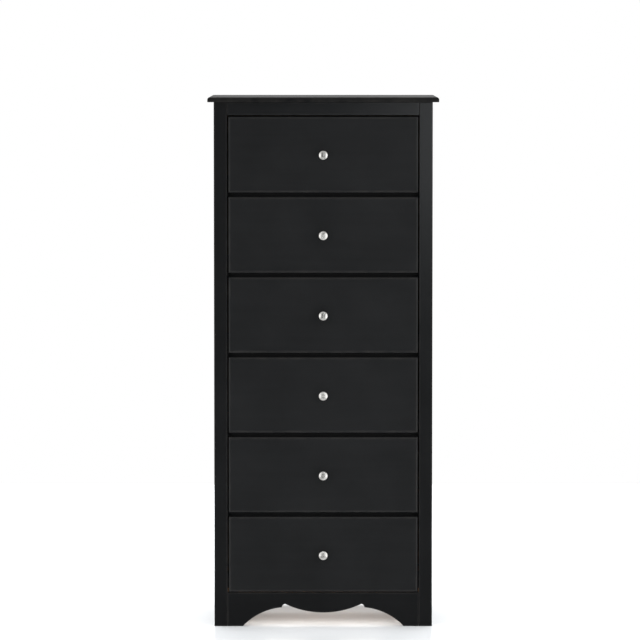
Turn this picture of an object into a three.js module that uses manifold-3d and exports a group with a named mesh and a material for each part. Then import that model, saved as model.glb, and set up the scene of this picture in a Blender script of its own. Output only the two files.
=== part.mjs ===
// Tall chest of drawers: a black painted frame with a scalloped apron, and six inset
// drawers on steel roller slides, each with one round metal knob.
//
// Millimetres. +X is to the right of someone who faces the drawers, +Y is towards the
// back and +Z is up. The origin is on the floor, under the middle of the whole object,
// knobs included. "Left" and "right" are those of someone who faces the drawers.

import * as THREE from 'three';
import { mergeVertices } from 'three/addons/utils/BufferGeometryUtils.js';
import Module from 'manifold-3d';

// Overall sizes
const OVERALL_HEIGHT = 1283;
const BODY_WIDTH = 528; // across the outer faces of the two sides
const BODY_DEPTH = 385; // from the front face of the stiles to the back of the back panel
const SEAT_GAP = 0.3; // left between pieces that are glued, screwed or slid together

// Top board
const TOP_THICKNESS = 12;
const TOP_SIDE_OVERHANG = 15;
const TOP_FRONT_OVERHANG = 15;
const TOP_UPPER_ROUND = 6; // radius of the quarter round along the front and the ends
const TOP_LOWER_ROUND = 1.5;

// Frame of the body
const SIDE_THICKNESS = 15;
const STILE_WIDTH = 32;
const STILE_THICKNESS = 18;
const TOP_RAIL_HEIGHT = 31;
const BACK_THICKNESS = 3;
const BACK_SIDE_INSET = 2; // the back panel stops this far inside the outer faces
const BACK_BOTTOM_HEIGHT = 22; // lower edge of the back panel, above the floor
const REAR_RAIL_HEIGHT = 40;
const REAR_RAIL_THICKNESS = 15;
const REAR_RAIL_SPACE = 5.5; // from the rear bottom rail up to the lowest slides
const CROSSBAR_HEIGHT = 16;
const CROSSBAR_DEPTH = 60;
const CROSSBAR_SETBACK = 3; // from the back of the drawer fronts to the crossbars

// Apron
const APRON_TOP = 82;
const FOOT_WIDTH = 69; // of the whole foot, from the body's outer face
const ARCH_RISE = 46.5; // of the outer curve, above the floor
const ARCH_CREST_INSET = 14; // the outer curve would level out this far inside the cove
const COVE_RADIUS = 8; // of the small step between the outer and the middle curve
const COVE_OFFSET = 92; // from the middle of the apron to the peak beside each cove
const DIP_HEIGHT = 33; // lowest point of the middle curve, above the floor

// Drawer fronts
const DRAWER_COUNT = 6;
const FRONT_THICKNESS = 16;
const FRONT_EDGE_ROUND = 4;
const FRONT_SPACING = 10; // between one front and the next
const FRONT_SIDE_REVEAL = 2.5;
const FRONT_TOP_REVEAL = 3;
const FRONT_BOTTOM_REVEAL = 1.5;

// Drawer boxes
const BOX_SLIDE_SPACE = 13; // between each side of a box and the stile beside it
const BOX_REAR_SPACE = 16; // between the end of a box and the back panel
const BOX_RAISE = 9; // from the bottom of a front to the bottom of its box
const BOX_DROP = 34; // from the top of a front to the top of its box
const BOX_SIDE_THICKNESS = 12;
const BOX_BACK_THICKNESS = 12;
const BOX_BOTTOM_THICKNESS = 4;
const GROOVE_DEPTH = 5;
const GROOVE_HEIGHT = 10; // from the bottom edge of a side to its groove

// Slides
const SLIDE_WALL = 1.5;
const SLIDE_HEIGHT = 34;
const SLIDE_FLANGE = 9;
const SLIDE_LIP = 4;
const SLIDE_BELOW_BOX = 2; // the slide reaches this far below the box that it carries
const SLIDE_FRONT_SPACE = 2; // from the stiles and the drawer fronts back to the slides
const SLIDE_REAR_SPACE = 8;
const BRACKET_WALL = 2;
const BRACKET_LENGTH = 24;
const BRACKET_FOOT_HEIGHT = 22;
const BRACKET_END_INSET = 28;

// Knobs and their screws
const KNOB_DIAMETER = 22;
const KNOB_PROJECTION = 22;
const KNOB_BASE_RADIUS = 6.5;
const KNOB_BASE_HEIGHT = 2.5;
const KNOB_NECK_RADIUS = 4.5;
const KNOB_NECK_HEIGHT = 8;
const KNOB_HEAD_HEIGHT = 13; // the underside of the head reaches this far out from the front
const KNOB_UNDERSIDE_RISE = 1; // the underside's last rise, up to where the head is widest
const KNOB_FACE_RADIUS = 9; // inside the rounded rim
const KNOB_FACE_CROWN = 1.6; // the face rises this much from its rim to its middle
const KNOB_BELOW_CENTRE = 1; // below the middle of its drawer front
const SCREW_BORE_RADIUS = 2;
const SCREW_BORE_DEPTH = 11;
const SCREW_HOLE_RADIUS = 2.5;

// Fineness of the round shapes
const ROUND_STEPS = 8; // of each quarter round
const ARC_SEGMENTS = 14;
const KNOB_CURVE_STEPS = 5;
const KNOB_SEGMENTS = 28;
const HOLE_SEGMENTS = 16;

// Places that several pieces share
const frontY = -(BODY_DEPTH - Math.max(KNOB_PROJECTION + SEAT_GAP, TOP_FRONT_OVERHANG)) / 2;
const backY = frontY + BODY_DEPTH;
const backPanelFrontY = backY - BACK_THICKNESS;
const panelRearY = backPanelFrontY - SEAT_GAP;
const frontBackY = frontY + FRONT_THICKNESS;
const bodyHalf = BODY_WIDTH / 2;
const sideInnerHalf = bodyHalf - SIDE_THICKNESS;
const openingHalf = bodyHalf - STILE_WIDTH;
const underTopZ = OVERALL_HEIGHT - TOP_THICKNESS - SEAT_GAP;
const railBottomZ = underTopZ - TOP_RAIL_HEIGHT;

// Drawer fronts share what the rail, the apron and the spaces leave
const frontsTopZ = railBottomZ - FRONT_TOP_REVEAL;
const frontsBottomZ = APRON_TOP + FRONT_BOTTOM_REVEAL;
const allSpacings = (DRAWER_COUNT - 1) * FRONT_SPACING;
const frontHeight = (frontsTopZ - frontsBottomZ - allSpacings) / DRAWER_COUNT;
const frontHalf = openingHalf - FRONT_SIDE_REVEAL;
const boxHalf = openingHalf - BOX_SLIDE_SPACE;
const boxInnerHalf = boxHalf - BOX_SIDE_THICKNESS;
const stileBackY = frontY + STILE_THICKNESS;
const boxFrontY = frontBackY + SEAT_GAP;
const boxRearY = backPanelFrontY - BOX_REAR_SPACE;
const knobY = frontY - SEAT_GAP;
const lowestSlideZ = frontsBottomZ + BOX_RAISE - SLIDE_BELOW_BOX;
const rearRailTopZ = lowestSlideZ - REAR_RAIL_SPACE;
const rearRailBottomZ = rearRailTopZ - REAR_RAIL_HEIGHT;

const material = (color, roughness, metalness) =>
  new THREE.MeshStandardMaterial({ color, roughness, metalness });
const blackPaint = material(0x232427, 0.42, 0);
const boxWood = material(0xc9ab7c, 0.6, 0);
const hardboard = material(0x9a7450, 0.75, 0);
const slideSteel = material(0xb9bcbe, 0.4, 0.9);
const knobNickel = material(0xcfcbc4, 0.22, 1);

const wasm = await Module();
wasm.setup();
const chest = new THREE.Group();

function addPiece(name, geometry, finish, position = [0, 0, 0]) {
  const piece = new THREE.Mesh(geometry, finish);
  piece.name = name;
  piece.position.set(...position);
  chest.add(piece);
}

// A board between two corners, each given as its lowest and highest value on each axis
function addBoard(name, finish, x, y, z) {
  const size = [x, y, z].map(([low, high]) => high - low);
  const middle = [x, y, z].map(([low, high]) => (low + high) / 2);
  addPiece(name, new THREE.BoxGeometry(...size), finish, middle);
}

// A flat outline in X and Z, given thickness from yFront back to yBack
function extrudeAlongY(shape, yFront, yBack) {
  const settings = { depth: yBack - yFront, bevelEnabled: false, curveSegments: ARC_SEGMENTS };
  const geometry = new THREE.ExtrudeGeometry(shape, settings);
  geometry.rotateX(Math.PI / 2);
  geometry.translate(0, yBack, 0);
  return geometry;
}

function outline(points) {
  return new THREE.Shape(points.map(([u, v]) => new THREE.Vector2(u, v)));
}

// A closed solid through a stack of rectangles, from the lowest to the highest
function stackRectangles(levels) {
  const corners = levels.flatMap(({ x, y, z }) => [
    x[0], y[0], z, x[1], y[0], z, x[1], y[1], z, x[0], y[1], z,
  ]);
  const faces = [0, 2, 1, 0, 3, 2];
  for (let level = 0; level < levels.length - 1; level++) {
    for (let side = 0; side < 4; side++) {
      const here = level * 4 + side;
      const next = level * 4 + ((side + 1) % 4);
      faces.push(here, next, next + 4, here, next + 4, here + 4);
    }
  }
  const top = (levels.length - 1) * 4;
  faces.push(top, top + 1, top + 2, top, top + 2, top + 3);
  const geometry = new THREE.BufferGeometry();
  geometry.setAttribute('position', new THREE.Float32BufferAttribute(corners, 3));
  geometry.setIndex(faces);
  geometry.computeVertexNormals();
  return geometry;
}

// How far a quarter round has come in, and how far up it is, at each of its steps
function quarterRound(radius) {
  return Array.from({ length: ROUND_STEPS + 1 }, (_, step) => {
    const angle = (step / ROUND_STEPS) * (Math.PI / 2);
    return { inset: radius * (1 - Math.cos(angle)), rise: radius * Math.sin(angle) };
  });
}

function toSolid(geometry) {
  const plain = geometry.clone();
  plain.deleteAttribute('normal');
  plain.deleteAttribute('uv');
  const merged = mergeVertices(plain);
  const mesh = new wasm.Mesh({
    numProp: 3,
    vertProperties: Float32Array.from(merged.attributes.position.array),
    triVerts: Uint32Array.from(merged.index.array),
  });
  return new wasm.Manifold(mesh);
}

function toGeometry(solid) {
  const mesh = solid.getMesh();
  const geometry = new THREE.BufferGeometry();
  geometry.setAttribute('position', new THREE.BufferAttribute(mesh.vertProperties, 3));
  geometry.setIndex(new THREE.BufferAttribute(mesh.triVerts, 1));
  geometry.computeVertexNormals();
  return geometry;
}

// The top board is rounded along its front and both ends, and square at the back
function addTopPanel() {
  const half = bodyHalf + TOP_SIDE_OVERHANG;
  const level = (inset, z) => ({
    x: [-half + inset, half - inset],
    y: [frontY - TOP_FRONT_OVERHANG + inset, backY],
    z,
  });
  const bottomZ = OVERALL_HEIGHT - TOP_THICKNESS;
  const lower = quarterRound(TOP_LOWER_ROUND).reverse()
    .map(({ inset, rise }) => level(inset, bottomZ + TOP_LOWER_ROUND - rise));
  const upper = quarterRound(TOP_UPPER_ROUND)
    .map(({ inset, rise }) => level(inset, OVERALL_HEIGHT - TOP_UPPER_ROUND + rise));
  addPiece('top_panel', stackRectangles([...lower, ...upper]), blackPaint);
}

// Each side is a panel with the front stile glued along its front edge, down to the floor
function addSide(name, side) {
  const points = [
    [bodyHalf, frontY],
    [bodyHalf, panelRearY],
    [sideInnerHalf, panelRearY],
    [sideInnerHalf, stileBackY],
    [openingHalf, stileBackY],
    [openingHalf, frontY],
  ].map(([x, y]) => [side * x, y]);
  const settings = { depth: underTopZ, bevelEnabled: false };
  addPiece(name, new THREE.ExtrudeGeometry(outline(points), settings), blackPaint);
}

// The apron's lower edge: a foot, a rising outer curve, a small cove up to a peak, and a
// middle curve that hangs between the two peaks
function apronOutline() {
  const end = openingHalf - SEAT_GAP;
  const footEnd = bodyHalf - FOOT_WIDTH;
  const coveEnd = COVE_OFFSET + COVE_RADIUS;
  const crest = coveEnd - ARCH_CREST_INSET;
  const archRun = footEnd - crest;
  const archRadius = (archRun ** 2 + ARCH_RISE ** 2) / (2 * ARCH_RISE);
  const archCentreZ = ARCH_RISE - archRadius;
  const archStart = Math.atan2(-archCentreZ, archRun);
  const archStop = Math.acos(ARCH_CREST_INSET / archRadius);
  const coveZ = archCentreZ + archRadius * Math.sin(archStop);
  const peakZ = coveZ + COVE_RADIUS;
  const hang = peakZ - DIP_HEIGHT;
  const middleRadius = (COVE_OFFSET ** 2 + hang ** 2) / (2 * hang);
  const middleCentreZ = DIP_HEIGHT + middleRadius;
  const middleHalfAngle = Math.asin(COVE_OFFSET / middleRadius);
  const down = -Math.PI / 2;

  const shape = new THREE.Shape();
  shape.moveTo(end, APRON_TOP);
  shape.lineTo(-end, APRON_TOP);
  shape.lineTo(-end, 0);
  shape.lineTo(-footEnd, 0);
  shape.absarc(-crest, archCentreZ, archRadius, Math.PI - archStart, Math.PI - archStop, true);
  shape.absarc(-COVE_OFFSET, coveZ, COVE_RADIUS, Math.PI, Math.PI / 2, true);
  shape.absarc(0, middleCentreZ, middleRadius, down - middleHalfAngle, down + middleHalfAngle);
  shape.absarc(COVE_OFFSET, coveZ, COVE_RADIUS, Math.PI / 2, 0, true);
  shape.absarc(crest, archCentreZ, archRadius, archStop, archStart, true);
  shape.lineTo(end, 0);
  return shape;
}

// Everything that stays still behind and around the drawers
function addFrame() {
  const between = openingHalf - SEAT_GAP;
  const inside = sideInnerHalf - SEAT_GAP;
  addBoard('top_front_rail', blackPaint,
    [-between, between], [frontY, stileBackY], [railBottomZ, underTopZ]);
  const apron = extrudeAlongY(apronOutline(), frontY, stileBackY);
  addPiece('scalloped_apron', apron, blackPaint);

  const backHalf = bodyHalf - BACK_SIDE_INSET;
  addBoard('back_panel', hardboard,
    [-backHalf, backHalf], [backPanelFrontY, backY], [BACK_BOTTOM_HEIGHT, underTopZ]);
  addBoard('rear_bottom_rail', blackPaint,
    [-inside, inside],
    [panelRearY - REAR_RAIL_THICKNESS, panelRearY],
    [rearRailBottomZ, rearRailTopZ]);

  const crossbarY = Math.max(frontBackY + CROSSBAR_SETBACK, stileBackY + SEAT_GAP);
  for (let number = 1; number < DRAWER_COUNT; number++) {
    const middleZ = frontBottomZ(number) - FRONT_SPACING / 2;
    addBoard(`crossbar_${number}`, blackPaint,
      [-inside, inside],
      [crossbarY, crossbarY + CROSSBAR_DEPTH],
      [middleZ - CROSSBAR_HEIGHT / 2, middleZ + CROSSBAR_HEIGHT / 2]);
  }
}

// Drawer 1 is at the top
function frontBottomZ(number) {
  return frontsTopZ - number * frontHeight - (number - 1) * FRONT_SPACING;
}

// A folded steel channel that opens towards the drawer, with two brackets that stand it
// off the side panel, level with the stile's inner edge
function addSlide(name, side, bottomZ) {
  const outer = openingHalf - SEAT_GAP;
  const inner = outer - SLIDE_FLANGE;
  const topZ = bottomZ + SLIDE_HEIGHT;
  const channel = [
    [outer, bottomZ],
    [outer, topZ],
    [inner, topZ],
    [inner, topZ - SLIDE_LIP],
    [inner + SLIDE_WALL, topZ - SLIDE_LIP],
    [inner + SLIDE_WALL, topZ - SLIDE_WALL],
    [outer - SLIDE_WALL, topZ - SLIDE_WALL],
    [outer - SLIDE_WALL, bottomZ + SLIDE_WALL],
    [inner, bottomZ + SLIDE_WALL],
    [inner, bottomZ],
  ];
  const wall = sideInnerHalf - SEAT_GAP;
  const root = outer - SLIDE_WALL / 2;
  const middleZ = (bottomZ + topZ) / 2;
  const armLow = middleZ - BRACKET_WALL / 2;
  const armHigh = middleZ + BRACKET_WALL / 2;
  const bracket = [
    [root, armLow],
    [wall - BRACKET_WALL, armLow],
    [wall - BRACKET_WALL, middleZ - BRACKET_FOOT_HEIGHT / 2],
    [wall, middleZ - BRACKET_FOOT_HEIGHT / 2],
    [wall, middleZ + BRACKET_FOOT_HEIGHT / 2],
    [wall - BRACKET_WALL, middleZ + BRACKET_FOOT_HEIGHT / 2],
    [wall - BRACKET_WALL, armHigh],
    [root, armHigh],
  ];
  const turned = (points) => outline(points.map(([x, z]) => [side * x, z]));
  const slideFrontY = Math.max(stileBackY, frontBackY) + SLIDE_FRONT_SPACE;
  const slideRearY = backPanelFrontY - SLIDE_REAR_SPACE;
  const bracketFronts = [
    slideFrontY + BRACKET_END_INSET,
    slideRearY - BRACKET_END_INSET - BRACKET_LENGTH,
  ];
  let slide = toSolid(extrudeAlongY(turned(channel), slideFrontY, slideRearY));
  for (const y of bracketFronts) {
    slide = slide.add(toSolid(extrudeAlongY(turned(bracket), y, y + BRACKET_LENGTH)));
  }
  addPiece(name, toGeometry(slide), slideSteel);
}

// The front: rounded along its four front edges, grooved behind for the bottom panel, and
// drilled for the knob's screw
function drawerFrontGeometry(bottomZ, groove, knobZ) {
  const level = (inset, z) => ({
    x: [-frontHalf + inset, frontHalf - inset],
    y: [bottomZ + inset, bottomZ + frontHeight - inset],
    z,
  });
  const rounded = quarterRound(FRONT_EDGE_ROUND)
    .map(({ inset, rise }) => level(inset, FRONT_THICKNESS - FRONT_EDGE_ROUND + rise));
  const block = stackRectangles([level(0, 0), ...rounded]);
  block.rotateX(Math.PI / 2);
  block.translate(0, frontBackY, 0);

  const cutHalf = boxInnerHalf + GROOVE_DEPTH;
  const cutHeight = groove.top - groove.bottom;
  const cutDepth = GROOVE_DEPTH * 2;
  const slot = new THREE.BoxGeometry(cutHalf * 2, cutDepth, cutHeight);
  slot.translate(0, frontBackY, groove.bottom + cutHeight / 2);
  const drill = new THREE.CylinderGeometry(
    SCREW_HOLE_RADIUS, SCREW_HOLE_RADIUS, FRONT_THICKNESS * 2, HOLE_SEGMENTS);
  drill.translate(0, (frontY + frontBackY) / 2, knobZ);
  return toGeometry(toSolid(block).subtract(toSolid(slot)).subtract(toSolid(drill)));
}

function knobGeometry() {
  const radius = KNOB_DIAMETER / 2;
  const rimTop = KNOB_PROJECTION - KNOB_FACE_CROWN;
  const widestAt = KNOB_HEAD_HEIGHT + KNOB_UNDERSIDE_RISE;
  const profile = new THREE.Path();
  profile.moveTo(0, SCREW_BORE_DEPTH);
  profile.lineTo(SCREW_BORE_RADIUS, SCREW_BORE_DEPTH);
  profile.lineTo(SCREW_BORE_RADIUS, 0);
  profile.lineTo(KNOB_BASE_RADIUS, 0);
  profile.lineTo(KNOB_BASE_RADIUS, KNOB_BASE_HEIGHT / 2);
  profile.quadraticCurveTo(
    KNOB_BASE_RADIUS, KNOB_BASE_HEIGHT, KNOB_NECK_RADIUS, KNOB_BASE_HEIGHT * 1.5);
  profile.lineTo(KNOB_NECK_RADIUS, KNOB_NECK_HEIGHT);
  profile.quadraticCurveTo(KNOB_NECK_RADIUS, KNOB_HEAD_HEIGHT, radius, widestAt);
  profile.quadraticCurveTo(radius, rimTop, KNOB_FACE_RADIUS, rimTop);
  profile.quadraticCurveTo(KNOB_FACE_RADIUS / 2, KNOB_PROJECTION, 0, KNOB_PROJECTION);
  const geometry = new THREE.LatheGeometry(profile.getPoints(KNOB_CURVE_STEPS), KNOB_SEGMENTS);
  geometry.rotateX(Math.PI);
  return geometry;
}

// One drawer: front, two grooved sides, back, bottom panel slid into the grooves, and knob
function addDrawer(number) {
  const name = `drawer_${number}`;
  const bottomZ = frontBottomZ(number);
  const boxBottomZ = bottomZ + BOX_RAISE;
  const boxTopZ = bottomZ + frontHeight - BOX_DROP;
  const knobZ = bottomZ + frontHeight / 2 - KNOB_BELOW_CENTRE;
  const grooveBottom = boxBottomZ + GROOVE_HEIGHT;
  const groove = {
    bottom: grooveBottom,
    top: grooveBottom + BOX_BOTTOM_THICKNESS + 2 * SEAT_GAP,
  };

  addPiece(`${name}_front`, drawerFrontGeometry(bottomZ, groove, knobZ), blackPaint);
  for (const [word, side] of [['left', -1], ['right', 1]]) {
    const points = [
      [boxHalf, boxBottomZ],
      [boxHalf, boxTopZ],
      [boxInnerHalf, boxTopZ],
      [boxInnerHalf, groove.top],
      [boxInnerHalf + GROOVE_DEPTH, groove.top],
      [boxInnerHalf + GROOVE_DEPTH, groove.bottom],
      [boxInnerHalf, groove.bottom],
      [boxInnerHalf, boxBottomZ],
    ].map(([x, z]) => [side * x, z]);
    const board = extrudeAlongY(outline(points), boxFrontY, boxRearY);
    addPiece(`${name}_${word}_side`, board, boxWood);
  }
  const backHalf = boxInnerHalf - SEAT_GAP;
  addBoard(`${name}_back`, boxWood,
    [-backHalf, backHalf],
    [boxRearY - BOX_BACK_THICKNESS, boxRearY],
    [groove.top, boxTopZ]);
  const bottomHalf = boxInnerHalf + GROOVE_DEPTH - SEAT_GAP;
  addBoard(`${name}_bottom`, hardboard,
    [-bottomHalf, bottomHalf],
    [frontBackY - GROOVE_DEPTH + SEAT_GAP, boxRearY],
    [groove.bottom + SEAT_GAP, groove.bottom + SEAT_GAP + BOX_BOTTOM_THICKNESS]);
  addPiece(`${name}_knob`, knobGeometry(), knobNickel, [0, knobY, knobZ]);

  const slideBottomZ = boxBottomZ - SLIDE_BELOW_BOX;
  addSlide(`left_slide_${number}`, -1, slideBottomZ);
  addSlide(`right_slide_${number}`, 1, slideBottomZ);
}

addTopPanel();
addSide('left_side_panel', -1);
addSide('right_side_panel', 1);
addFrame();
for (let number = 1; number <= DRAWER_COUNT; number++) {
  addDrawer(number);
}

export default chest;
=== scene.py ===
"""The looks of the tall chest of drawers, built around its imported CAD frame.

Metres, in the frame's own axes: +X is right and +Y is back for someone who faces the
drawers, +Z is up, and the floor is at z = 0.
"""
import math

import bmesh
import bpy
from mathutils import Matrix, Vector


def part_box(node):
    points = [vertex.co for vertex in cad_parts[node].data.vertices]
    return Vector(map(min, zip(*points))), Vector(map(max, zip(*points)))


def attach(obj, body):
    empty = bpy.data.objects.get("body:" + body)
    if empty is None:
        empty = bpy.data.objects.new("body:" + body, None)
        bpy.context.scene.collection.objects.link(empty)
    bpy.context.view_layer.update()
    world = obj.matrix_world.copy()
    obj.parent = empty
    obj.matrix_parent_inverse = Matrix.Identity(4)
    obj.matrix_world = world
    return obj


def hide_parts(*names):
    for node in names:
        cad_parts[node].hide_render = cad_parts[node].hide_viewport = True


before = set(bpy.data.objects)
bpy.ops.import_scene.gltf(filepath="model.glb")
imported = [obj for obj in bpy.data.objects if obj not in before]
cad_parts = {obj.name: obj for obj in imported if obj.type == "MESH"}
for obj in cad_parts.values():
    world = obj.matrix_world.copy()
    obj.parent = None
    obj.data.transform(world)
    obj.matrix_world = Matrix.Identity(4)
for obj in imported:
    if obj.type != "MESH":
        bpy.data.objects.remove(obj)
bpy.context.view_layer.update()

DRAWERS = 6
SIDES = (("left", -1), ("right", 1))
MM = 0.001

# Fineness of the built meshes
CORNER_STEPS = 3  # on each rounded corner of a ring
EASE_STEPS = 3  # on an eased edge
ROUND_STEPS = 10  # on the roundovers that show as shapes
FINE_EASE_STEPS = 2  # on the eased edges of the runners, and of the CAD nodes that stay
DOME_STEPS = 5  # on the top of a screw head
KNOB_SEGMENTS = 64
WHEEL_SEGMENTS = 32
WASHER_SEGMENTS = 24
SCREW_SEGMENTS = 20
AXLE_SEGMENTS = 16
BACK_NAIL_SEGMENTS = 12
BOX_NAIL_SEGMENTS = 10
SMOOTH_ANGLE = math.radians(38)
BEVEL_ANGLE = math.radians(40)
NORMAL_WEIGHT = 80
WELD_DISTANCE = 0.01 * MM

# Edges
EASE = 0.8 * MM
WEAR_WIDTH = 3.5 * MM  # how far an edge's wear fades out over the faces beside it
SUPPORT_SHARE = 0.8  # the most that the wear takes of the room beside a ring's corner
CAP_SHARE = 0.3  # the most that it takes of a board end's thinner side

# The CAD's own sizes that a box doesn't give
TOP_UPPER_ROUND = 6 * MM
TOP_LOWER_ROUND = 1.5 * MM
FRONT_EDGE_ROUND = 4 * MM
STILE_THICKNESS = 18 * MM
SIDE_THICKNESS = 15 * MM
GROOVE_DEPTH = 5 * MM
GROOVE_SLACK = 0.3 * MM  # round the bottom panel, in its grooves


# ---------------------------------------------------------------- places from the frame

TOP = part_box("top_panel")
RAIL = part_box("top_front_rail")
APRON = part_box("scalloped_apron")
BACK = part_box("back_panel")
FRONT_Y = RAIL[0].y
STILE_BACK_Y = FRONT_Y + STILE_THICKNESS
FRONT_BACK_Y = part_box("drawer_1_front")[1].y
OPENING_HALF = RAIL[1].x
BODY_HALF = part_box("right_side_panel")[1].x


# ---------------------------------------------------------------- meshes

def ring(u, v, w, radius, worn_all=False):
    """A rectangle with rounded corners, as (u, v, w, wear) points.

    A support point stands on both sides of each corner, unworn unless the whole ring is worn.
    """
    points = []
    corners = ((u[1], v[0], -90), (u[1], v[1], 0), (u[0], v[1], 90), (u[0], v[0], 180))
    middle_u, middle_v = (u[0] + u[1]) / 2, (v[0] + v[1]) / 2
    room = min(u[1] - u[0], v[1] - v[0]) / 2 - radius
    support = min(WEAR_WIDTH, SUPPORT_SHARE * room)
    support_wear = 1.0 if worn_all else 0.0
    for corner_u, corner_v, start in corners:
        centre_u = corner_u + math.copysign(radius, middle_u - corner_u)
        centre_v = corner_v + math.copysign(radius, middle_v - corner_v)
        first, last = math.radians(start), math.radians(start + 90)
        points.append((
            centre_u + radius * math.cos(first) + support * math.sin(first),
            centre_v + radius * math.sin(first) - support * math.cos(first),
            w, support_wear))
        for step in range(CORNER_STEPS + 1):
            angle = first + (last - first) * step / CORNER_STEPS
            points.append((
                centre_u + radius * math.cos(angle),
                centre_v + radius * math.sin(angle),
                w, 1.0))
        points.append((
            centre_u + radius * math.cos(last) - support * math.sin(last),
            centre_v + radius * math.sin(last) + support * math.cos(last),
            w, support_wear))
    return points


def inset_ring(u, v, w, inset, radius, worn_all=False, shares=(1, 1, 1, 1)):
    """A ring whose sides come in by an inset, each by its own share of it."""
    low_u, high_u, low_v, high_v = (inset * share for share in shares)
    return ring((u[0] + low_u, u[1] - high_u), (v[0] + low_v, v[1] - high_v),
                w, radius, worn_all)


def rounded_end(u, v, w, into, rounding, radius, steps, shares=(1, 1, 1, 1)):
    """The rings of a board's end at w, from its middle out, round its edges and on inwards.

    `into` is +1 where the board goes on to higher w, and -1 where it goes on to lower w.
    """
    thinnest = min(u[1] - u[0], v[1] - v[0])
    cap_inset = min(rounding + WEAR_WIDTH, CAP_SHARE * thinnest)
    rings = [unworn(inset_ring(u, v, w, cap_inset, radius, shares=shares))]
    for step in range(steps + 1):
        angle = math.pi / 2 * step / steps
        inset = rounding * (1 - math.sin(angle))
        height = w + into * rounding * (1 - math.cos(angle))
        rings.append(inset_ring(u, v, height, inset, radius, worn_all=True, shares=shares))
    rings.append(ring(u, v, w + into * (rounding + WEAR_WIDTH), radius))
    return rings


def unworn(points):
    """The same points, with no wear."""
    return [(u, v, w, 0.0) for u, v, w, _ in points]


def loft(rings, place):
    """A closed skin over rings of equally many points, capped at both ends."""
    bm = bmesh.new()
    wear = bm.verts.layers.float.new("wear")
    rows = []
    for points in rings:
        row = []
        for u, v, w, worn in points:
            vert = bm.verts.new(place(u, v, w))
            vert[wear] = worn
            row.append(vert)
        rows.append(row)
    count = len(rows[0])
    for near, far in zip(rows, rows[1:]):
        for here in range(count):
            after = (here + 1) % count
            bm.faces.new((near[here], near[after], far[after], far[here]))
    bm.faces.new(rows[0])
    bm.faces.new(rows[-1])
    return bm


def drawn_out(outline, y_span, ease, steps):
    """An outline in X and Z, drawn out along Y, with its sharp edges eased."""
    bm = bmesh.new()
    face = bm.faces.new([bm.verts.new((x, y_span[0], z)) for x, z in outline])
    grown = bmesh.ops.extrude_face_region(bm, geom=[face])
    moved = [item for item in grown["geom"] if isinstance(item, bmesh.types.BMVert)]
    bmesh.ops.translate(bm, verts=moved, vec=(0, y_span[1] - y_span[0], 0))
    bmesh.ops.recalc_face_normals(bm, faces=bm.faces)
    arrises = [edge for edge in bm.edges if edge.calc_face_angle(0) > SMOOTH_ANGLE]
    bmesh.ops.bevel(bm, geom=arrises, offset=ease, segments=steps, profile=0.5,
                    affect="EDGES", clamp_overlap=True)
    return bm


def lathe(profile, centre, direction, segments):
    """A closed turned shape. The profile's (radius, distance) points run from axis to axis."""
    turn = Vector((0, 0, 1)).rotation_difference(Vector(direction))
    bm = bmesh.new()
    rows = []
    for radius, distance in profile:
        if radius == 0:
            rows.append([bm.verts.new(centre + turn @ Vector((0, 0, distance)))])
            continue
        row = []
        for step in range(segments):
            angle = 2 * math.pi * step / segments
            point = Vector((radius * math.cos(angle), radius * math.sin(angle), distance))
            row.append(bm.verts.new(centre + turn @ point))
        rows.append(row)
    for near, far in zip(rows, rows[1:]):
        for here in range(segments):
            after = (here + 1) % segments
            if len(near) == 1:
                bm.faces.new((near[0], far[here], far[after]))
            elif len(far) == 1:
                bm.faces.new((near[here], far[0], near[after]))
            else:
                bm.faces.new((near[here], near[after], far[after], far[here]))
    return bm


def add_piece(name, shapes, material, body, replaces=()):
    """Makes one object of one or more bmesh shapes, and lets it ride on its body."""
    shapes = shapes if isinstance(shapes, list) else [shapes]
    mesh = bpy.data.meshes.new(name)
    whole = bmesh.new()
    for shape in shapes:
        part = bpy.data.meshes.new("part")
        shape.to_mesh(part)
        shape.free()
        whole.from_mesh(part)
        bpy.data.meshes.remove(part)
    bmesh.ops.recalc_face_normals(whole, faces=whole.faces)
    whole.to_mesh(mesh)
    whole.free()
    mesh.materials.append(material)
    piece = bpy.data.objects.new(name, mesh)
    bpy.context.scene.collection.objects.link(piece)
    shade(piece)
    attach(piece, body)
    if replaces:
        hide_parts(*replaces)
    return piece


def shade(piece):
    """Smooth over gentle angles, with the big flat faces kept flat."""
    piece.data.shade_smooth()
    piece.data.set_sharp_from_angle(angle=SMOOTH_ANGLE)
    weigh_normals(piece)


def weigh_normals(piece):
    """Lets the large faces decide how the small ones beside them are shaded."""
    weighted = piece.modifiers.new("weighted_normals", "WEIGHTED_NORMAL")
    weighted.keep_sharp = True
    weighted.weight = NORMAL_WEIGHT


def along_x(u, v, w):
    return (w, u, v)


def along_y(u, v, w):
    return (u, w, v)


def along_z(u, v, w):
    return (u, v, w)


def eased_board(low, high, along, ease=EASE):
    """A board between two corners, with all of its edges eased. `along` is its long axis."""
    spans = {axis: (low[k], high[k]) for k, axis in enumerate("xyz")}
    across = {"x": "yz", "y": "xz", "z": "xy"}[along]
    place = {"x": along_x, "y": along_y, "z": along_z}[along]
    u, v, w = spans[across[0]], spans[across[1]], spans[along]
    near = rounded_end(u, v, w[0], 1, ease, ease, EASE_STEPS)
    far = rounded_end(u, v, w[1], -1, ease, ease, EASE_STEPS)
    return loft([*near, *reversed(far)], place)


# ---------------------------------------------------------------- materials

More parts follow.
